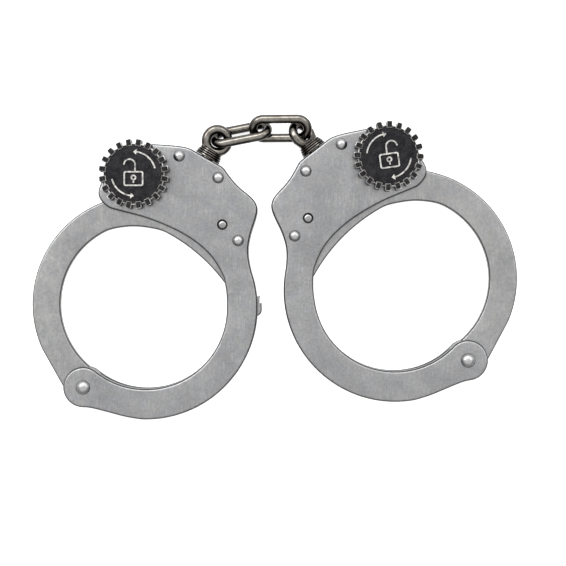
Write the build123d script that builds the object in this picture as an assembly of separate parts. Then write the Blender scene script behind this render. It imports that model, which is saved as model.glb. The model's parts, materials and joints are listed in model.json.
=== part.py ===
from build123d import *
import math
import os

# Chain handcuffs with a thumb-turn release, lying flat.
# Millimetres. +X runs from the left cuff to the right cuff, +Y from the bows
# towards the chain, +Z up, away from the surface that the cuffs lie on.
#
# One cuff is designed in its own frame: origin on the hinge rivet's axis, at
# the middle of the thickness, lock housing towards +Y.  The right cuff is its
# mirror image.

# ---------------------------------------------------------------- dimensions
GAP = 3.6              # space between the two cheeks
CHEEK_T = 2.6          # cheek plate thickness
BOW_T = 3.4            # bow strand thickness
EDGE_R = 0.9           # rolled edge on the outer faces of the cheeks
REAR_PROUD = 0.7       # rear rivet crowns stand this far off the rear cheek
FACE = GAP / 2 + CHEEK_T          # 4.4, outer face of a cheek
MID_Z = FACE + REAR_PROUD         # 5.1, mid-plane above the resting surface

HINGE_END_R = 6.82
CHEEK_C = (21.07, 26.64)
CHEEK_IN_R = 27.22
CHEEK_OUT_R = 37.56

BOW_C = (19.35, 27.95)
BOW_IN_R = 27.5
BOW_OUT_R = 37.0
TOOTHED_IN_R = 59.0
TOOTH_ROOT_R = 65.6
TOOTH_TIP_R = 66.9
TOOTH_PITCH = 2.2      # degrees about the hinge
TOOTH_START = 25.4     # degrees
TOOTH_COUNT = 23
RIGHT_BOW_OPEN = 6.6   # the right bow rests three teeth further open

R1 = (32.3, 77.8)
R2 = (45.4, 70.5)
R3 = (52.1, 49.4)
PAWL_PIN = (46.8, 54.7)
KNOB_C = (17.5, 71.4)

HINGE_SHANK_R = 1.9
HOUSING_SHANK_R = 1.3
PAWL_PIN_R = 1.4
RUN_CLEAR = 0.06       # radial running clearance

PAWL_T = 3.0
PAWL_SWING = 7.5       # degrees between lifted and engaged

KNOB_TIP_R = 11.7
KNOB_ROOT_R = 10.3
KNOB_BAR_R = 9.3       # inner end of the grip bars
KNOB_TEETH = 20
KNOB_Z0 = FACE + 0.4
KNOB_H = 4.5
SPINDLE_R = 2.5

SWIVEL_BASE = (41.35, 77.3)
SWIVEL_DIR = 60.0      # degrees
SHANK_R = 2.2
COLLAR_R = 4.55
COLLAR_TOP = 3.35
EYE_R = 3.85           # middle of the eye's wire
EYE_WIRE_R = 1.55
WIRE_R = 1.5           # link wire
EYE_S = 7.4            # eye centre beyond the housing edge

LINK_LEN = 21.5
LINK_IN_W = 4.0

# place of each cuff's hinge axis, and the turn of the right cuff
LEFT_PIVOT = (-64.10, -40.47)
RIGHT_PIVOT = (65.33, -31.42)
RIGHT_TURN = 7.8
SHIFT = (-0.325, -0.016)     # puts the origin under the middle of the whole object

LEFT_EYE_SPIN = -19.61
RIGHT_EYE_SPIN = -46.21
LEFT_EYE_SHIFT = -0.369
RIGHT_EYE_SHIFT = -0.513
LINK1 = ((-11.112, 45.109, 4.82), (10.4, 5.51, -51.01))
LINK2 = ((2.199, 46.924, 6.071), (0.1, 3.55, 31.41))


# ------------------------------------------------------------------- helpers
def polar(r, deg, c=(0.0, 0.0)):
    a = math.radians(deg)
    return (c[0] + r * math.cos(a), c[1] + r * math.sin(a))


def turn(p, deg, c):
    a = math.radians(deg)
    x, y = p[0] - c[0], p[1] - c[1]
    return (
        c[0] + x * math.cos(a) - y * math.sin(a),
        c[1] + x * math.sin(a) + y * math.cos(a),
    )


def cyl(r, z0, z1, c=(0.0, 0.0)):
    return Pos(c[0], c[1], (z0 + z1) / 2) * Cylinder(r, z1 - z0)


def slab(face, z0, z1):
    return Pos(0, 0, z0) * extrude(face, z1 - z0, dir=(0, 0, 1))


def poly_face(points):
    w = Polyline(*[(x, y, 0) for x, y in points], close=True)
    return make_face(w)


def hull2(c1, r1, c2, r2):
    # two discs joined by their outer tangents
    dx, dy = c2[0] - c1[0], c2[1] - c1[1]
    L = math.hypot(dx, dy)
    a = math.atan2(dy, dx)
    b = math.acos((r1 - r2) / L)
    q = []
    for s in (1, -1):
        q.append((c1[0] + r1 * math.cos(a + s * b), c1[1] + r1 * math.sin(a + s * b)))
        q.append((c2[0] + r2 * math.cos(a + s * b), c2[1] + r2 * math.sin(a + s * b)))
    f = poly_face([q[0], q[1], q[3], q[2]])
    f += Pos(c1[0], c1[1]) * Circle(r1)
    f += Pos(c2[0], c2[1]) * Circle(r2)
    return f


def one(shape):
    s = shape.solids()
    if len(s) != 1:
        raise ValueError(f"expected one solid, got {len(s)}")
    return s[0]


# --------------------------------------------------------------- cheek plate
def cheek_outline():
    hinge_in = (4.70, 4.94)
    corner = (47.14, 36.99)
    e = []
    e.append(ThreePointArc(hinge_in, polar(HINGE_END_R, 157.5), (0.0, -HINGE_END_R)))
    bottom = (CHEEK_C[0], CHEEK_C[1] - CHEEK_OUT_R)
    e.append(
        Spline(
            (0.0, -HINGE_END_R), (5.04, -7.62), (8.4, -8.5), (11.76, -9.42),
            (15.12, -10.2), (18.3, -10.72), bottom,
            tangents=[(1, 0, 0), (1, 0, 0)],
        )
    )
    a1 = 18.0
    p1 = polar(CHEEK_OUT_R, a1, CHEEK_C)
    e.append(ThreePointArc(bottom, polar(CHEEK_OUT_R, -36, CHEEK_C), p1))
    e.append(
        Spline(
            p1, (55.99, 41.5), (55.52, 45.6), (55.85, 49.2), (56.9, 53.3), (58.2, 57.4),
            (58.45, 61.0), (56.6, 63.9), (53.6, 66.4), (50.4, 69.6), (47.9, 72.9), (46.03, 74.59),
            tangents=[(-math.sin(math.radians(a1)), math.cos(math.radians(a1)), 0), (-0.866, 0.5, 0)],
        )
    )
    e.append(Line((46.03, 74.59), (36.62, 80.04)))
    e.append(
        Spline(
            (36.62, 80.04), (32.4, 81.2), (26.0, 81.75), (21.5, 81.85), (17.3, 81.35), (13.2, 80.2),
            (9.8, 77.5), (7.7, 73.6), (6.3, 69.6), (5.15, 66.5), (5.4, 63.7), (7.9, 60.9), (12.4, 59.3),
            tangents=[(-0.866, 0.5, 0), (0.966, -0.259, 0)],
        )
    )
    e.append(
        Spline(
            (12.4, 59.3), (19.2, 57.5), (27.4, 54.5), (35.4, 50.4), (42.4, 44.6), corner,
            tangents=[(0.966, -0.259, 0), (0.42, -0.907, 0)],
        )
    )
    right = (CHEEK_C[0] + CHEEK_IN_R, CHEEK_C[1])
    e.append(ThreePointArc(corner, (48.12, 31.9), right))
    e.append(ThreePointArc(right, polar(CHEEK_IN_R, -70, CHEEK_C), hinge_in))
    return e


def sdir():
    a = math.radians(SWIVEL_DIR)
    return (math.cos(a), math.sin(a)), (math.sin(a), -math.cos(a))


def on_swivel(s, lat):
    u, r = sdir()
    return (SWIVEL_BASE[0] + s * u[0] + lat * r[0], SWIVEL_BASE[1] + s * u[1] + lat * r[1])


def swivel_place(obj):
    # obj is built on +Z from the housing edge; turn its axis into the plane
    a = math.radians(SWIVEL_DIR)
    u = (math.cos(a), math.sin(a), 0)
    r = (math.sin(a), -math.cos(a), 0)
    pl = Plane(origin=(SWIVEL_BASE[0], SWIVEL_BASE[1], 0), x_dir=r, z_dir=u)
    return pl * obj


def swivel_box(s0, s1, lat, half_z):
    # box in the swivel's frame: X is lateral, Y is through the thickness
    b = Pos(0, 0, (s0 + s1) / 2) * Box(2 * lat, 2 * half_z, s1 - s0)
    return swivel_place(b)


def cheek(front):
    face = make_face(cheek_outline())
    z0, z1 = (GAP / 2, FACE) if front else (-FACE, -GAP / 2)
    body = one(slab(face, z0, z1))
    outer = body.faces().sort_by(Axis.Z)[-1 if front else 0]
    body = fillet(outer.edges(), EDGE_R)
    cut = cyl(HINGE_SHANK_R, -9, 9) + cyl(PAWL_PIN_R, -9, 9, PAWL_PIN)
    for c in (R1, R2, R3):
        cut += cyl(HOUSING_SHANK_R, -9, 9, c)
    body = body - cut
    # countersink round the pawl pin
    zf = FACE if front else -FACE
    s = 1 if front else -1
    cone = Pos(PAWL_PIN[0], PAWL_PIN[1], zf - s * 0.2) * Cone(
        PAWL_PIN_R if front else PAWL_PIN_R + 0.4, PAWL_PIN_R + 0.4 if front else PAWL_PIN_R, 0.4
    )
    body = body - cone
    # pocket for the swivel block, its retaining ring and the shank
    body = body - swivel_box(-6.0, -0.5, 4.2, 2.9) - swivel_box(-8.0, -5.9, 3.2, 2.9)
    body = body - swivel_place(Pos(0, 0, 0.5) * Cylinder(SHANK_R + 0.12, 3.0))
    if front:
        body = body - cyl(SPINDLE_R + RUN_CLEAR, -9, 9, KNOB_C)
    else:
        body = body - cyl(1.2 + RUN_CLEAR, -2.8, 0, KNOB_C)
    return one(body)


# ----------------------------------------------------------------------- bow
def bow(open_deg):
    bl = math.radians(117.5)
    inner_end = polar(BOW_IN_R, 231.2, BOW_C)
    blend0 = polar(BOW_IN_R, 117.5, BOW_C)
    t0 = (math.sin(bl), -math.cos(bl), 0)
    arc0 = polar(TOOTHED_IN_R, 61.8)
    tip_deg = 22.2
    arc1 = polar(TOOTHED_IN_R, tip_deg)
    th1 = TOOTH_START + TOOTH_PITCH * TOOTH_COUNT
    e = []
    e.append(ThreePointArc(inner_end, (BOW_C[0] - BOW_IN_R, BOW_C[1]), blend0))
    a = math.radians(61.8)
    e.append(
        Spline(
            blend0, (12.43, 53.95), (17.57, 54.23), (22.71, 53.6), arc0,
            tangents=[t0, (math.sin(a), -math.cos(a), 0)],
        )
    )
    e.append(ThreePointArc(arc0, polar(TOOTHED_IN_R, 43), arc1))
    shoulder = polar(64.9, tip_deg)
    tip0 = polar(TOOTH_TIP_R, TOOTH_START + 1.0)
    e.append(Line(arc1, shoulder))
    e.append(Line(shoulder, tip0))
    # the toothed edge runs into the outer circle where the two meet
    q_ang = 90.0
    while q_ang < 125:
        q = polar(BOW_OUT_R, q_ang, BOW_C)
        if math.degrees(math.atan2(q[1], q[0])) > th1 + 2.4:
            break
        q_ang += 0.05
    tip1 = polar(TOOTH_TIP_R, th1 - 2.0)
    e.append(ThreePointArc(tip0, polar(TOOTH_TIP_R, 50), tip1))
    g1 = math.radians(th1 - 2.0)
    g2 = math.radians(q_ang)
    e.append(Spline(tip1, q, tangents=[(-math.sin(g1), math.cos(g1), 0), (-math.sin(g2), math.cos(g2), 0)]))
    end = polar(BOW_OUT_R, 204.5, BOW_C)
    e.append(ThreePointArc(q, polar(BOW_OUT_R, 150, BOW_C), end))
    heel = polar(6.75, 188)
    e.append(Line(end, heel))
    e.append(ThreePointArc(heel, polar(6.75, 305), polar(6.75, 62)))
    e.append(Line(polar(6.75, 62), inner_end))
    face = make_face(e)
    soften = []
    for pt, r in ((arc1, 1.5), (shoulder, 2.2), (tip0, 6.0), (heel, 6.0), (end, 20.0)):
        v = min(face.vertices(), key=lambda w: (w.X - pt[0]) ** 2 + (w.Y - pt[1]) ** 2)
        try:
            face = fillet([v], r)
        except ValueError:
            pass
    body = one(slab(face, -BOW_T / 2, BOW_T / 2))
    rims = body.faces().sort_by(Axis.Z)[0].outer_wire().edges() + body.faces().sort_by(Axis.Z)[-1].outer_wire().edges()
    body = one(fillet(rims, 0.75))
    # saw-tooth gullets: a slow rise towards opening, then a steep face
    cut = []
    for i in range(TOOTH_COUNT):
        th = TOOTH_START + TOOTH_PITCH * i
        cut.append(polar(TOOTH_ROOT_R, th))
        cut.append(polar(TOOTH_TIP_R, th + TOOTH_PITCH - 0.12))
    cut.append(polar(TOOTH_ROOT_R, th1))
    cut.append(polar(TOOTH_TIP_R + 0.3, th1 + 2.2))
    cut.append(polar(TOOTH_TIP_R + 3, th1 + 2.2))
    cut += [polar(TOOTH_TIP_R + 3, a) for a in range(72, 26, -6)]
    cut.append(polar(TOOTH_TIP_R + 3, TOOTH_START - 0.4))
    body = one(body - slab(poly_face(cut), -3, 3))
    body = one(body - cyl(HINGE_SHANK_R + RUN_CLEAR, -5, 5))
    return Rot(0, 0, open_deg) * body


# -------------------------------------------------------------------- rivets
def rivet(c, shank_r, head_r, front_h, rear_flat_r):
    # domed front head, low rear head with a small flat crown
    sph = (head_r**2 + front_h**2) / (2 * front_h)
    top = FACE + front_h
    a = math.radians(45)
    mid_ang = math.asin(head_r / sph) / 2
    mid = (sph * math.sin(mid_ang), 0, top - sph + sph * math.cos(mid_ang))
    e = [
        Line((0, 0, top), (0, 0, -FACE - REAR_PROUD)),
        Line((0, 0, -FACE - REAR_PROUD), (rear_flat_r, 0, -FACE - REAR_PROUD)),
        ThreePointArc(
            (rear_flat_r, 0, -FACE - REAR_PROUD),
            ((rear_flat_r + head_r) / 2 + 0.12, 0, -FACE - REAR_PROUD * 0.62),
            (head_r, 0, -FACE),
        ),
        Line((head_r, 0, -FACE), (shank_r, 0, -FACE)),
        Line((shank_r, 0, -FACE), (shank_r, 0, FACE)),
        Line((shank_r, 0, FACE), (head_r, 0, FACE)),
        ThreePointArc((head_r, 0, FACE), mid, (0, 0, top)),
    ]
    f = make_face(e)
    return Pos(c[0], c[1], 0) * one(revolve(f, Axis.Z))


def pawl_pin():
    r = PAWL_PIN_R
    h = FACE - 0.15
    prof = [
        (0, -h), (r * 0.5, -h + 0.05), (r * 0.82, -h + 0.18), (r, -h + 0.4),
        (r, h - 0.4), (r * 0.82, h - 0.18), (r * 0.5, h - 0.05), (0, h),
    ]
    f = make_face(Polyline(*[(x, 0, z) for x, z in prof], close=True))
    return Pos(PAWL_PIN[0], PAWL_PIN[1], 0) * one(revolve(f, Axis.Z))


# ------------------------------------------------------------------- spacers
def spacer_lower():
    outer = [
        (55.35, 40.6), (54.95, 43.2), (54.95, 46.0), (55.3, 49.0), (56.2, 52.6), (57.4, 56.4),
        (57.9, 59.6), (57.3, 61.8), (55.7, 63.8), (53.1, 66.0), (50.0, 69.0), (47.5, 72.3), (45.9, 73.95),
    ]
    side = [on_swivel(-0.7, 4.45), on_swivel(-6.2, 4.45), (44.6, 67.5), (45.0, 64.6)]
    f = poly_face(outer + side + [(46.6, 60.0), (43.5, 55.5), (52.0, 43.0), (53.6, 41.0)])
    f -= Circle(67.9)
    f -= Pos(PAWL_PIN[0], PAWL_PIN[1]) * Circle(3.6)
    # room for the pawl's arm beside its pivot
    f -= poly_face([(46.8, 58.4), (43.4, 57.9), (40, 60), (38, 50), (44, 48), (47.0, 51.3)])
    body = slab(f, -GAP / 2, GAP / 2) - slab(spring_face(0.27), -1.4, 1.4)
    body -= cyl(HOUSING_SHANK_R, -3, 3, R2) + cyl(HOUSING_SHANK_R, -3, 3, R3)
    s = sorted(body.solids(), key=lambda q: q.volume)
    return s[-1]


def spacer_upper():
    left_wall = [on_swivel(-6.2, -4.45), on_swivel(-0.7, -4.45)]
    outer = [
        (35.4, 79.75), (32.4, 80.65), (29.0, 80.95), (25.5, 81.15), (21.6, 81.2), (17.4, 80.75), (13.7, 79.65),
        (10.5, 77.1), (8.5, 73.6), (7.3, 70.2), (6.95, 69.1),
    ]
    f = poly_face(left_wall + outer + [(9.4, 68.6), (9.9, 71.4), (17.5, 75.0), (24.6, 74.6), (30.5, 74.9)])
    f -= Pos(KNOB_C[0], KNOB_C[1]) * Circle(7.7)
    f -= Circle(68.0)
    body = slab(f, -GAP / 2, GAP / 2) - cyl(HOUSING_SHANK_R, -3, 3, R1)
    s = sorted(body.solids(), key=lambda q: q.volume)
    return s[-1]


def swivel_block():
    b = Pos(0, 0, -3.25) * Box(8.4, 5.8, 5.5)
    b = b - Pos(0, 0, -3.25) * Cylinder(SHANK_R + RUN_CLEAR, 8)
    return one(swivel_place(b))


# ------------------------------------------------------------- pawl, spring
def release_frame(t, rho):
    # a point beside the knob's spindle: t towards the pawl, rho outwards
    a = math.radians(math.degrees(math.atan2(KNOB_C[1], KNOB_C[0])))
    er = (math.cos(a), math.sin(a))
    et = (math.sin(a), -math.cos(a))
    return (KNOB_C[0] + t * et[0] + rho * er[0], KNOB_C[1] + t * et[1] + rho * er[1])


def pawl():
    # engaged position first, then lifted about its pin
    first = TOOTH_START + 16 * TOOTH_PITCH
    inner = [polar(67.6, 50.0), polar(67.6, 55), polar(67.6, first - 0.6), polar(67.25, first + 0.14)]
    for i in range(3):
        th = first + i * TOOTH_PITCH
        inner.append(polar(65.85, th + 0.14))
        inner.append(polar(67.14, th + TOOTH_PITCH + 0.05))
    inner.append(polar(67.4, first + 3 * TOOTH_PITCH + 0.7))
    outer = [polar(71.3, a) for a in (67.9, 66, 64, 62, 60, 58, 56, 54, 52, 50)]
    f = poly_face(inner + outer)
    f = Pos(PAWL_PIN[0], PAWL_PIN[1]) * (Rot(0, 0, -PAWL_SWING) * (Pos(-PAWL_PIN[0], -PAWL_PIN[1]) * f))
    finger = [
        release_frame(4.8, 1.40), release_frame(8.6, 1.30), turn(polar(67.9, 66.9), -PAWL_SWING, PAWL_PIN),
        turn(polar(71.0, 66.4), -PAWL_SWING, PAWL_PIN), (27.9, 69.6), (26.6, 72.3), release_frame(5.2, 3.4), release_frame(4.8, 2.9),
    ]
    f += poly_face(finger)
    f += Pos(PAWL_PIN[0], PAWL_PIN[1]) * Circle(3.2)
    f -= Pos(PAWL_PIN[0], PAWL_PIN[1]) * Circle(PAWL_PIN_R + RUN_CLEAR)
    return one(slab(f, -PAWL_T / 2, PAWL_T / 2))


SPRING_PATH = [
    (47.6, 66.2), (44.0, 66.5), (40.0, 67.15), (36.5, 67.75), (33.4, 67.85), (31.2, 67.55), (30.0, 68.1), (29.3, 69.0),
]


def spring_face(h):
    # a strip of half thickness h along the spring's line
    sp = Spline(*SPRING_PATH)
    a = [sp @ (i / 60) for i in range(61)]
    tg = [sp % (i / 60) for i in range(61)]
    up = [(p.X - t.Y * h, p.Y + t.X * h) for p, t in zip(a, tg)]
    dn = [(p.X + t.Y * h, p.Y - t.X * h) for p, t in zip(a, tg)]
    return make_face([Spline(*up[::6]), Line(up[-1], dn[-1]), Spline(*dn[::-1][::6]), Line(dn[0], up[0])])


def pawl_spring():
    return one(slab(spring_face(0.25), -1.3, 1.3))


# ---------------------------------------------------------------- knob group
def spindle():
    b = cyl(SPINDLE_R, 1.65, KNOB_Z0 + 2.4)
    b += cyl(2.0, 0.9, 1.65)
    b += Pos(0, 0, -0.25) * Box(2.6, 2.6, 2.3)
    b += cyl(1.2, -2.6, -1.4)
    return Pos(KNOB_C[0], KNOB_C[1], 0) * one(b)


def release_cam():
    lobe = release_frame(5.2, 0.0)
    f = hull2(KNOB_C, 2.3, lobe, 1.3)
    b = slab(f, -1.35, 0.85)
    b = b - Pos(KNOB_C[0], KNOB_C[1], -0.25) * Box(2.6, 2.6, 3.4)
    return one(b)


def spindle_clip():
    b = cyl(3.4, 0.95, 1.6) - cyl(2.0, 0, 3) - Pos(0, -3.2, 1.2) * Box(2.4, 3.2, 3)
    return Pos(KNOB_C[0], KNOB_C[1], 0) * one(b)


def arrow_band(r0, r1, a0, a1, head):
    # a curved bar from a0 to a1 degrees with an arrowhead at a1
    n = 14
    pts = [polar(r1, a0 + (a1 - a0) * i / n) for i in range(n + 1)]
    rm, w = (r0 + r1) / 2, (r1 - r0) / 2
    pts += [polar(rm + w * 4.0, a1), polar(rm, a1 + head), polar(rm - w * 4.0, a1)]
    pts += [polar(r0, a1 - (a1 - a0) * i / n) for i in range(n + 1)]
    return poly_face(pts)


def thumb_knob():
    top = KNOB_Z0 + KNOB_H
    field = top - 0.6
    prof = [
        (0, KNOB_Z0), (KNOB_ROOT_R - 0.4, KNOB_Z0), (KNOB_ROOT_R, KNOB_Z0 + 0.4),
        (KNOB_ROOT_R, field - 0.35), (KNOB_ROOT_R - 0.35, field), (0, field),
    ]
    f = make_face(Polyline(*[(x, 0, z) for x, z in prof], close=True))
    b = one(revolve(f, Axis.Z))
    # square grip bars round the rim, bevelled on the crown
    pitch = 360 / KNOB_TEETH
    half = 0.95
    bar = slab(
        poly_face(
            [
                (KNOB_BAR_R, -half), (KNOB_TIP_R - 0.3, -half), (KNOB_TIP_R, -half + 0.3),
                (KNOB_TIP_R, half - 0.3), (KNOB_TIP_R - 0.3, half), (KNOB_BAR_R, half),
            ]
        ),
        KNOB_Z0,
        top,
    )
    bar = chamfer(bar.faces().sort_by(Axis.Z)[-1].edges(), 0.22)
    ring = [Rot(0, 0, pitch * (i + 0.5)) * bar for i in range(KNOB_TEETH)]
    b = b.fuse(*ring)
    marks = arrow_band(7.1, 7.6, 14, 82, 9) + arrow_band(7.1, 7.6, 194, 262, 9)
    b += slab(marks, field - 0.1, field + 0.45)
    # open padlock in the middle
    lock = Pos(0, -1.6) * (RectangleRounded(6.6, 5.0, 0.7) - RectangleRounded(5.6, 4.0, 0.35))
    lock += Pos(0, -1.25) * (Circle(0.95) - Circle(0.45)) + Pos(0, -2.5) * Rectangle(0.5, 1.0)
    arc = Pos(-1.3, 3.0) * (Circle(2.1) - Circle(1.6))
    arc -= Pos(-1.3, 1.4) * Rectangle(8, 3.2)
    leg = Pos(-1.3 + 1.85, 1.9) * Rectangle(0.5, 2.4)
    b += slab(lock + arc + leg, field - 0.1, field + 0.45)
    b = b - cyl(SPINDLE_R, KNOB_Z0 - 1, KNOB_Z0 + 2.4)
    s = sorted(b.solids(), key=lambda q: q.volume)
    return Pos(KNOB_C[0], KNOB_C[1], 0) * s[-1]


# -------------------------------------------------------------------- swivel
def swivel_eye(spin, shift):
    s_eye = EYE_S + shift
    prof = [
        (0, -7.6), (SHANK_R - 0.3, -7.6), (SHANK_R, -7.3), (SHANK_R, -7.15), (SHANK_R - 0.35, -7.15),
        (SHANK_R - 0.35, -6.15), (SHANK_R, -6.15), (SHANK_R, 0.25),
    ]
    # stacked beads of the collar, narrowing towards the eye
    for r, s0, s1 in ((COLLAR_R, 0.25, 0.97), (COLLAR_R - 0.08, 1.03, 1.72), (COLLAR_R - 0.3, 1.78, 2.45), (COLLAR_R - 0.6, 2.51, 3.15)):
        prof += [(r - 0.28, s0), (r, s0 + 0.22), (r, s1 - 0.22), (r - 0.28, s1)]
    prof += [(COLLAR_R - 1.3, COLLAR_TOP), (0, COLLAR_TOP)]
    f = make_face(Polyline(*[(x, 0, z) for x, z in prof], close=True))
    b = one(revolve(f, Axis.Z))
    # the eye: a round ring in the XZ plane, on a tapering flat neck
    ring = Pos(0, 0, s_eye) * (Rot(90, 0, 0) * Torus(EYE_R, EYE_WIRE_R))
    ro = EYE_R + EYE_WIRE_R * 0.78
    w0 = COLLAR_R - 1.0
    neck = make_face(
        Polyline((-w0, 0, 3.0), (w0, 0, 3.0), (ro, 0, s_eye - 0.6), (ro * 0.7, 0, s_eye + 0.2), (-ro * 0.7, 0, s_eye + 0.2), (-ro, 0, s_eye - 0.6), close=True)
    )
    nk = Pos(0, 1.2, 0) * extrude(neck, 2.4, dir=(0, -1, 0))
    nk = nk - Pos(0, 0, s_eye) * (Rot(90, 0, 0) * Cylinder(EYE_R - 0.3, 6))
    b = b + nk + ring
    b = one(b)
    # spin about the shank, then into place.  A positive spin raises the eye on the pawl side.
    b = Rot(0, 0, -spin) * b
    return swivel_place(b)


def swivel_retainer():
    b = Pos(0, 0, -6.65) * Cylinder(2.8, 0.9) - Pos(0, 0, -6.65) * Cylinder(SHANK_R - 0.35, 3)
    return one(swivel_place(b))


# --------------------------------------------------------------------- links
def link(place, angles):
    rc = LINK_IN_W / 2 + WIRE_R
    h = (LINK_LEN - 2 * WIRE_R - 2 * rc) / 2
    h1 = [Pos(x, y, 0) * (Rot(0, 90, 0) * Cylinder(WIRE_R, 2 * h)) for x, y in ((0, -rc), (0, rc))]
    ends = []
    for sx in (1, -1):
        c = Plane(origin=(sx * h, rc, 0), z_dir=(1, 0, 0)) * Circle(WIRE_R)
        half = revolve(c, Axis((sx * h, 0, 0), (0, 0, 1)), -180 if sx > 0 else 180)
        ends.append(half)
    b = h1[0].fuse(h1[1], *ends)
    b = one(b)
    yaw, pitch, roll = angles
    # roll about the long axis, then pitch the +X end up, then yaw
    b = Rot(roll, 0, 0) * b
    b = Rot(0, -pitch, 0) * b
    b = Rot(0, 0, yaw) * b
    return Pos(*place) * b


# ------------------------------------------------------------------ assembly
def cuff(eye_spin, eye_shift, bow_open):
    return {
        "front_cheek": cheek(True),
        "rear_cheek": cheek(False),
        "bow": bow(bow_open),
        "hinge_rivet": rivet((0, 0), HINGE_SHANK_R, 2.45, 1.3, 1.3),
        "housing_rivets": [rivet(c, HOUSING_SHANK_R, 1.95, 1.1, 0.95) for c in (R1, R2, R3)],
        "pawl_pin": pawl_pin(),
        "spacer_lower": spacer_lower(),
        "spacer_upper": spacer_upper(),
        "swivel_block": swivel_block(),
        "pawl": pawl(),
        "pawl_spring": pawl_spring(),
        "thumb_knob": thumb_knob(),
        "knob_spindle": spindle(),
        "release_cam": release_cam(),
        "spindle_clip": spindle_clip(),
        "swivel_eye": swivel_eye(eye_spin, eye_shift),
        "swivel_retainer": swivel_retainer(),
    }


def place(shape, left):
    if left:
        loc = Pos(LEFT_PIVOT[0] + SHIFT[0], LEFT_PIVOT[1] + SHIFT[1], MID_Z)
        return loc * shape
    m = mirror(shape, about=Plane.YZ)
    loc = Pos(RIGHT_PIVOT[0] + SHIFT[0], RIGHT_PIVOT[1] + SHIFT[1], MID_Z) * Rot(0, 0, RIGHT_TURN)
    return loc * m


def build():
    nodes = {}
    for side, spin, shift, opened in (
        ("left", LEFT_EYE_SPIN, LEFT_EYE_SHIFT, 0.0),
        # in the mirrored frame the spin's sense is reversed
        ("right", -RIGHT_EYE_SPIN, RIGHT_EYE_SHIFT, RIGHT_BOW_OPEN),
    ):
        for name, shape in cuff(spin, shift, opened).items():
            items = shape if isinstance(shape, list) else [shape]
            nodes[f"{side}_{name}"] = [place(s, side == "left") for s in items]
    for name, (c, ang) in (("chain_link_1", LINK1), ("chain_link_2", LINK2)):
        nodes[name] = [link((c[0] + SHIFT[0], c[1] + SHIFT[1], c[2]), ang)]
    return nodes


# -------------------------------------------------------------------- export
os.makedirs("parts", exist_ok=True)
NODES = build()
lo = [1e9] * 3
hi = [-1e9] * 3
for name, items in NODES.items():
    shape = items[0] if len(items) == 1 else Compound(children=items)
    bb = shape.bounding_box()
    for i, (a, b) in enumerate(((bb.min.X, bb.max.X), (bb.min.Y, bb.max.Y), (bb.min.Z, bb.max.Z))):
        lo[i] = min(lo[i], a)
        hi[i] = max(hi[i], b)
    export_step(shape, f"parts/{name}.step")
print("low corner", [round(v, 3) for v in lo], "high corner", [round(v, 3) for v in hi])
print("middle", round((lo[0] + hi[0]) / 2, 4), round((lo[1] + hi[1]) / 2, 4))
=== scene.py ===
import json
import math

import bmesh
import bpy
from mathutils import Matrix, Vector


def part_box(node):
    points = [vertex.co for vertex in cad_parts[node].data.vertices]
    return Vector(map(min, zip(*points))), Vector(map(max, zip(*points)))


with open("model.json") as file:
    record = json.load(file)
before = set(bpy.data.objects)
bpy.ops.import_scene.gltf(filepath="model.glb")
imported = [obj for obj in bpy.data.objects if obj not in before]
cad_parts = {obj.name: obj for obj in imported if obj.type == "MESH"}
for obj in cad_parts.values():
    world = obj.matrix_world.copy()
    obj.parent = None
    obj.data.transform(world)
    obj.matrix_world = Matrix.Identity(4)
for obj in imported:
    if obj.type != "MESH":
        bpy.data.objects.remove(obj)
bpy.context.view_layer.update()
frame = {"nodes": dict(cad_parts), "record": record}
NODES = frame["nodes"]
SC = bpy.context.scene
MM = 0.001


# ------------------------------------------------- smooth shading, crisp edges
def smoother(angle):
    g = bpy.data.node_groups.new("crisp_%d" % angle, "GeometryNodeTree")
    g.interface.new_socket("Geometry", in_out="INPUT", socket_type="NodeSocketGeometry")
    g.interface.new_socket("Geometry", in_out="OUTPUT", socket_type="NodeSocketGeometry")
    a, b = g.nodes.new("NodeGroupInput"), g.nodes.new("NodeGroupOutput")
    weld = g.nodes.new("GeometryNodeMergeByDistance")
    weld.inputs["Distance"].default_value = 0.000002
    flat = g.nodes.new("GeometryNodeSetShadeSmooth")
    flat.domain = "FACE"
    crisp = g.nodes.new("GeometryNodeSetShadeSmooth")
    crisp.domain = "EDGE"
    crisp.inputs["Shade Smooth"].default_value = False
    turn = g.nodes.new("GeometryNodeInputMeshEdgeAngle")
    more = g.nodes.new("FunctionNodeCompare")
    more.operation = "GREATER_THAN"
    more.inputs[1].default_value = math.radians(angle)
    for p, q in (
        (a.outputs[0], weld.inputs["Geometry"]), (weld.outputs[0], flat.inputs["Geometry"]),
        (flat.outputs[0], crisp.inputs["Geometry"]), (turn.outputs[0], more.inputs[0]),
        (more.outputs[0], crisp.inputs["Selection"]), (crisp.outputs[0], b.inputs[0]),
    ):
        g.links.new(p, q)
    return g


CRISP = smoother(28)
for ob in NODES.values():
    for extra in [x.name for x in ob.data.attributes if x.name == "custom_normal"]:
        ob.data.attributes.remove(ob.data.attributes[extra])
    ob.modifiers.new("crisp", "NODES").node_group = CRISP


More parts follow.
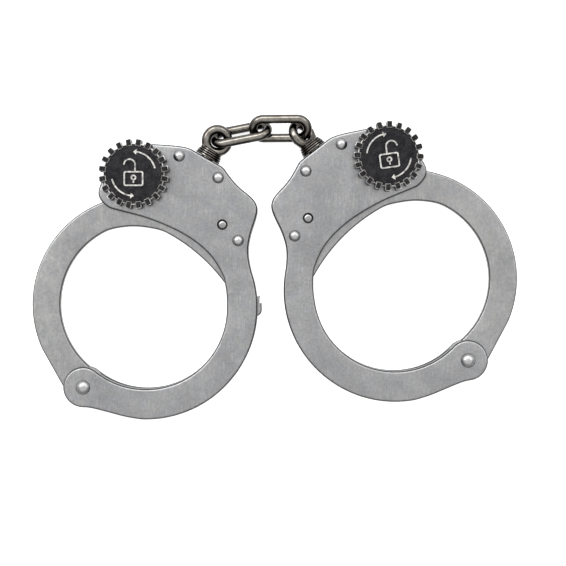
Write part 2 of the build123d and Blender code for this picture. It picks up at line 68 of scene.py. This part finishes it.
# ------------------------------------------------------------------ materials
class Tree:
    def __init__(self, name):
        self.mat = bpy.data.materials.new(name)
        self.mat.use_nodes = True
        self.t = self.mat.node_tree
        self.t.nodes.clear()
        self.out = self.t.nodes.new("ShaderNodeOutputMaterial")
        self.bsdf = self.t.nodes.new("ShaderNodeBsdfPrincipled")
        self.t.links.new(self.bsdf.outputs[0], self.out.inputs[0])
        self.coord = self.t.nodes.new("ShaderNodeTexCoord")

    def link(self, a, b):
        self.t.links.new(a, b)

    def scaled(self, factor=(1, 1, 1), turn=(0, 0, 0), shift=(0, 0, 0)):
        m = self.t.nodes.new("ShaderNodeMapping")
        m.inputs["Scale"].default_value = factor
        m.inputs["Rotation"].default_value = turn
        m.inputs["Location"].default_value = shift
        self.link(self.coord.outputs["Object"], m.inputs["Vector"])
        return m.outputs[0]

    def noise(self, scale, detail=2.0, rough=0.5, vector=None, distort=0.0):
        n = self.t.nodes.new("ShaderNodeTexNoise")
        n.inputs["Scale"].default_value = scale
        n.inputs["Detail"].default_value = detail
        n.inputs["Roughness"].default_value = rough
        n.inputs["Distortion"].default_value = distort
        self.link(vector if vector is not None else self.coord.outputs["Object"], n.inputs["Vector"])
        return n.outputs[0]

    def voronoi(self, scale, vector=None, feature="F1"):
        n = self.t.nodes.new("ShaderNodeTexVoronoi")
        n.feature = feature
        n.inputs["Scale"].default_value = scale
        self.link(vector if vector is not None else self.coord.outputs["Object"], n.inputs["Vector"])
        return n

    def remap(self, value, lo, hi, to_lo, to_hi, smooth=False):
        m = self.t.nodes.new("ShaderNodeMapRange")
        m.interpolation_type = "SMOOTHSTEP" if smooth else "LINEAR"
        for i, v in ((1, lo), (2, hi), (3, to_lo), (4, to_hi)):
            m.inputs[i].default_value = v
        self.link(value, m.inputs[0])
        return m.outputs[0]

    def math(self, op, a, b=None, c=None):
        m = self.t.nodes.new("ShaderNodeMath")
        m.operation = op
        for i, v in enumerate((a, b, c)):
            if v is None:
                continue
            if isinstance(v, (int, float)):
                m.inputs[i].default_value = v
            else:
                self.link(v, m.inputs[i])
        return m.outputs[0]

    def mix(self, fac, a, b, blend="MIX"):
        m = self.t.nodes.new("ShaderNodeMix")
        m.data_type = "RGBA"
        m.blend_type = blend
        m.clamp_factor = True
        for i, v in ((0, fac), (6, a), (7, b)):
            if isinstance(v, (int, float)):
                m.inputs[i].default_value = v
            elif isinstance(v, (tuple, list)):
                m.inputs[i].default_value = (*v, 1.0)
            else:
                self.link(v, m.inputs[i])
        return m.outputs[2]

    def bump(self, height, strength, distance, under=None):
        b = self.t.nodes.new("ShaderNodeBump")
        b.inputs["Strength"].default_value = strength
        b.inputs["Distance"].default_value = distance
        self.link(height, b.inputs["Height"])
        if under is not None:
            self.link(under, b.inputs["Normal"])
        return b.outputs[0]

    def upness(self):
        n = self.t.nodes.new("ShaderNodeSeparateXYZ")
        self.link(self.coord.outputs["Normal"], n.inputs[0])
        return self.math("ABSOLUTE", n.outputs[2])

    def painted_wall_shade(self, base, keep, lo=0.72, hi=0.965):
        # painted shade: steep walls and rolled edges are painted darker than the flat faces, by the tilt of the
        # normal; a faint random noise varies the tone everywhere
        dirt = self.remap(self.noise(800.0, 3.0, 0.6), 0.3, 0.7, -0.02, 0.02)
        k = self.math("ADD", self.remap(self.upness(), lo, hi, keep, 1.0), dirt)
        g = self.t.nodes.new("ShaderNodeCombineXYZ")
        for i in range(3):
            self.link(k, g.inputs[i])
        return self.mix(1.0, base, g.outputs[0], "MULTIPLY")

    def set(self, **kw):
        names = {
            "color": "Base Color", "rough": "Roughness", "metal": "Metallic", "normal": "Normal",
            "specular": "Specular IOR Level", "aniso": "Anisotropic", "coat": "Coat Weight",
        }
        for k, v in kw.items():
            s = self.bsdf.inputs[names[k]]
            if isinstance(v, (int, float)):
                s.default_value = v
            elif isinstance(v, (tuple, list)):
                s.default_value = (*v, 1.0)
            else:
                self.link(v, s)


def scratches(t, scale, angle, thin=0.06):
    # thin straight marks along one direction, thinned out by a broad patch mask
    v = t.scaled(factor=(1.0, 0.035, 1.0), turn=(0, 0, math.radians(angle)))
    n = t.noise(scale, 1.0, 0.4, v)
    line = t.remap(n, 0.5 - thin, 0.5, 0.0, 1.0)
    line2 = t.remap(n, 0.5, 0.5 + thin, 1.0, 0.0)
    ridge = t.math("MULTIPLY", line, line2)
    patch = t.remap(t.noise(190.0 + angle, 2.0), 0.5, 0.68, 0.0, 1.0)
    return t.math("MULTIPLY", ridge, patch)


def satin(name, light, dark, rough, grain=0.07, turn=20.0):
    t = Tree(name)
    blotch = t.noise(95.0, 2.5, 0.55)
    cloud = t.noise(330.0, 3.0, 0.6)
    fine = t.noise(1250.0, 2.0, 0.5)
    pits = t.noise(4200.0, 2.0, 0.6)
    base = t.mix(t.remap(blotch, 0.32, 0.68, 0.0, 1.0), dark, light)
    # faint warm and cool tints of the tumbled finish
    tint = t.mix(t.remap(cloud, 0.35, 0.65, 0.0, 1.0), (0.975, 0.99, 1.03), (1.03, 1.01, 0.965))
    base = t.mix(0.5, base, tint, "MULTIPLY")
    g = t.remap(fine, 0.3, 0.7, 1.0 - grain, 1.0 + grain)
    gc = t.t.nodes.new("ShaderNodeCombineXYZ")
    for i in range(3):
        t.link(g, gc.inputs[i])
    base = t.mix(1.0, base, gc.outputs[0], "MULTIPLY")
    s1 = scratches(t, 2600.0, turn)
    s2 = scratches(t, 2100.0, turn + 67.0)
    s3 = scratches(t, 2300.0, turn - 48.0)
    s = t.math("MAXIMUM", t.math("MAXIMUM", s1, s2), s3)
    base = t.mix(t.math("MULTIPLY", s, 0.35), base, (0.80, 0.80, 0.80))
    # painted shade: the steep walls and edges of the plates and bows are darkened to 13 percent of their colour
    base = t.painted_wall_shade(base, 0.13)
    r = t.remap(blotch, 0.25, 0.75, rough - 0.02, rough + 0.02)
    r = t.math("ADD", r, t.remap(cloud, 0.3, 0.7, -0.008, 0.008))
    h = t.math("ADD", t.math("MULTIPLY", fine, 0.5), t.math("MULTIPLY", pits, 0.5))
    h = t.math("SUBTRACT", h, t.math("MULTIPLY", s, 0.35))
    t.set(color=base, rough=r, metal=1.0, normal=t.bump(h, 0.35, 0.000018))
    return t.mat


def polished(name, light, dark, rough, dent=0.00002, tarnish=None, keep=1.0, span=(0.42, 0.93)):
    t = Tree(name)
    cloud = t.noise(420.0, 3.0, 0.6)
    fine = t.noise(2600.0, 2.0, 0.6)
    soft = t.noise(520.0, 1.5, 0.5)
    base = t.mix(t.remap(cloud, 0.35, 0.7, 0.0, 1.0), light, dark)
    if tarnish is not None:
        m = t.remap(t.noise(260.0, 4.0, 0.65, distort=0.4), 0.5, 0.72, 0.0, 0.75)
        base = t.mix(m, base, tarnish)
    s = t.math("MAXIMUM", scratches(t, 2800.0, 12.0), scratches(t, 2400.0, 81.0))
    base = t.mix(t.math("MULTIPLY", s, 0.25), base, (0.75, 0.74, 0.72))
    # painted shade: when keep is below 1, the steep sides of rivets, pins and chain wire are darkened towards keep
    if keep < 1.0:
        base = t.painted_wall_shade(base, keep, *span)
    r = t.math("ADD", t.remap(fine, 0.25, 0.75, rough - 0.03, rough + 0.04), t.remap(cloud, 0.3, 0.7, -0.02, 0.05))
    h = t.math("ADD", t.math("MULTIPLY", soft, 0.8), t.math("MULTIPLY", fine, 0.12))
    h = t.math("SUBTRACT", h, t.math("MULTIPLY", s, 0.1))
    t.set(color=base, rough=r, metal=1.0, normal=t.bump(h, 0.5, dent))
    return t.mat


def machined(name, light, dark, rough, turn):
    t = Tree(name)
    v = t.scaled(factor=(1.0, 0.04, 1.0), turn=(0, 0, math.radians(turn)))
    lay = t.noise(2400.0, 2.0, 0.6, v)
    cloud = t.noise(300.0, 3.0, 0.6)
    base = t.mix(t.remap(lay, 0.3, 0.7, 0.0, 1.0), dark, light)
    oil = t.remap(cloud, 0.52, 0.7, 0.0, 0.5)
    base = t.mix(oil, base, (0.20, 0.18, 0.16))
    t.set(color=base, rough=t.remap(lay, 0.3, 0.7, rough - 0.06, rough + 0.08), metal=1.0, normal=t.bump(lay, 0.4, 0.00002))
    return t.mat


PLATE = satin("plate_satin_nickel", (0.445, 0.447, 0.451), (0.375, 0.378, 0.387), 0.29, grain=0.115)
BOW = satin("bow_satin_nickel", (0.475, 0.475, 0.473), (0.40, 0.401, 0.404), 0.29, grain=0.11, turn=75.0)
# the keep and span values darken the steep sides of rivets, pins and chain links as painted shade
RIVET = polished("rivet_worn", (0.66, 0.66, 0.665), (0.52, 0.52, 0.525), 0.27, 0.00001, keep=0.10)
PIN = polished("pin_dark_steel", (0.48, 0.48, 0.48), (0.34, 0.34, 0.34), 0.22, 0.00001, keep=0.10)
CHAIN = polished("chain_dark_nickel", (0.42, 0.395, 0.36), (0.22, 0.20, 0.172), 0.07, 0.00003, (0.115, 0.086, 0.063), keep=0.11, span=(0.66, 0.995))
INNER = machined("inner_machined", (0.50, 0.50, 0.50), (0.36, 0.36, 0.37), 0.40, 35.0)
SPRING = polished("spring_blued", (0.30, 0.33, 0.40), (0.20, 0.21, 0.27), 0.24)

KNOB_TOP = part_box("left_thumb_knob")[1][2]


def antique():
    t = Tree("knob_antiqued")
    blotch = t.noise(420.0, 3.0, 0.6)
    fine = t.noise(2100.0, 3.0, 0.7)
    base = t.mix(t.remap(blotch, 0.35, 0.7, 0.0, 1.0), (0.020, 0.020, 0.022), (0.042, 0.041, 0.044))
    speck = t.remap(fine, 0.56, 0.70, 0.0, 0.55)
    base = t.mix(speck, base, (0.15, 0.145, 0.14))
    # the blackening is rubbed through on the bevels and on the crowns of the marks
    sn = t.t.nodes.new("ShaderNodeSeparateXYZ")
    t.link(t.coord.outputs["Normal"], sn.inputs[0])
    up = sn.outputs[2]
    so = t.t.nodes.new("ShaderNodeSeparateXYZ")
    t.link(t.coord.outputs["Object"], so.inputs[0])
    z = so.outputs[2]
    bevel = t.math("MULTIPLY", t.remap(up, 0.25, 0.45, 0.0, 1.0), t.remap(up, 0.88, 0.97, 1.0, 0.0))
    bevel = t.math("MULTIPLY", bevel, t.remap(z, KNOB_TOP - 0.0011, KNOB_TOP - 0.0009, 0.0, 1.0))
    crown = t.math("MULTIPLY", t.remap(z, KNOB_TOP - 0.00024, KNOB_TOP - 0.00019, 0.0, 1.0), t.remap(z, KNOB_TOP - 0.00011, KNOB_TOP - 0.00006, 1.0, 0.0))
    crown = t.math("MULTIPLY", crown, t.remap(up, 0.90, 0.97, 0.0, 1.0))
    patchy = t.remap(t.noise(700.0, 3.0, 0.6), 0.33, 0.58, 0.25, 1.0)
    worn = t.math("MULTIPLY", t.math("MAXIMUM", bevel, t.math("MULTIPLY", crown, 0.9)), patchy)
    base = t.mix(worn, base, (0.90, 0.88, 0.84))
    r = t.remap(fine, 0.25, 0.75, 0.32, 0.52)
    h = t.math("ADD", t.math("MULTIPLY", fine, 0.6), t.math("MULTIPLY", t.noise(5200.0, 2.0, 0.6), 0.4))
    t.set(color=base, rough=r, metal=1.0, normal=t.bump(h, 0.55, 0.00005))
    return t.mat


KNOB = antique()

BY_SLOT = {
    "plate": PLATE, "bow_steel": BOW, "rivet": RIVET, "chain": CHAIN, "knob": KNOB,
    "inner_steel": INNER, "spring_steel": SPRING,
}
SLOT_OF = {s["node"]: s["material_slot"] for s in frame["record"]["subparts"]}
for name, ob in NODES.items():
    m = PIN if name.endswith("pawl_pin") else BY_SLOT[SLOT_OF[name]]
    if not ob.material_slots:
        ob.data.materials.append(m)
    for s in ob.material_slots:
        s.material = m

# --------------------------------------------------------------- floor, light
me = bpy.data.meshes.new("floor")
bm = bmesh.new()
bmesh.ops.create_grid(bm, x_segments=8, y_segments=8, size=1.6)
bm.to_mesh(me)
bm.free()
floor = bpy.data.objects.new("floor", me)
SC.collection.objects.link(floor)
floor.location = (0, 0, -0.00002)
ft = Tree("floor_paper")
fn = ft.noise(900.0, 2.0, 0.5)
ft.set(color=ft.mix(fn, (0.92, 0.92, 0.92), (0.95, 0.95, 0.95)), rough=0.9, metal=0.0, specular=0.1)
# a pale lit table, as for a catalogue picture
ft.bsdf.inputs["Emission Color"].default_value = (1.0, 1.0, 1.0, 1.0)
ft.bsdf.inputs["Emission Strength"].default_value = 0.75
floor.data.materials.append(ft.mat)

world = bpy.data.worlds.new("studio")
SC.world = world
world.use_nodes = True
wt = world.node_tree
wt.nodes.clear()
wo = wt.nodes.new("ShaderNodeOutputWorld")
bg = wt.nodes.new("ShaderNodeBackground")
wt.links.new(bg.outputs[0], wo.inputs[0])
tc = wt.nodes.new("ShaderNodeTexCoord")
sep = wt.nodes.new("ShaderNodeSeparateXYZ")
wt.links.new(tc.outputs["Generated"], sep.inputs[0])


def wrange(value, lo, hi, a, b):
    m = wt.nodes.new("ShaderNodeMapRange")
    m.interpolation_type = "SMOOTHSTEP"
    for i, v in ((1, lo), (2, hi), (3, a), (4, b)):
        m.inputs[i].default_value = v
    wt.links.new(value, m.inputs[0])
    return m.outputs[0]


def wmath(op, a, b):
    m = wt.nodes.new("ShaderNodeMath")
    m.operation = op
    for i, v in enumerate((a, b)):
        if isinstance(v, (int, float)):
            m.inputs[i].default_value = v
        else:
            wt.links.new(v, m.inputs[i])
    return m.outputs[0]


# a bright half towards +Y, a dim half towards -Y, and a softer ceiling
side = wrange(sep.outputs[1], -0.08, 0.24, 0.62, 1.75)
# the bright half is a bank of lights above the horizon
side = wmath("MULTIPLY", side, wrange(sep.outputs[2], 0.38, 0.66, 0.45, 1.15))
ceiling = wrange(sep.outputs[2], 0.72, 0.92, 0.0, 1.0)
inv = wmath("SUBTRACT", 1.0, ceiling)
level = wmath("ADD", wmath("MULTIPLY", side, inv), wmath("MULTIPLY", ceiling, 0.80))
wt.links.new(level, bg.inputs["Strength"])
bg.inputs["Color"].default_value = (1.0, 1.0, 1.0, 1.0)


def softbox(name, at, aim, size, watts):
    ld = bpy.data.lights.new(name, "AREA")
    ld.shape = "RECTANGLE"
    ld.size, ld.size_y = size
    ld.energy = watts
    ob = bpy.data.objects.new(name, ld)
    SC.collection.objects.link(ob)
    ob.location = at
    ob.rotation_mode = "QUATERNION"
    ob.rotation_quaternion = (Vector(aim) - Vector(at)).to_track_quat("-Z", "Y")
    return ob


softbox("key_back", (-0.30, 0.55, 0.85), (0, 0, 0), (1.1, 0.4), 2.6)

# --------------------------------------------------------------------- camera
cam_data = bpy.data.cameras.new("camera")
cam = bpy.data.objects.new("camera", cam_data)
SC.collection.objects.link(cam)
SC.camera = cam
HIGH = 0.430
cam_data.sensor_width = 36.0
cam_data.lens = 36.0 * HIGH / 0.1902
cam_data.clip_start, cam_data.clip_end = 0.01, 10.0
cam.location = (0.002783, -0.005409, 0.0095 + HIGH)
cam.rotation_euler = (0, 0, 0)

SC.view_settings.view_transform = "Standard"
SC.view_settings.look = "None"
SC.view_settings.exposure = 0.0
SC.cycles.use_denoising = True
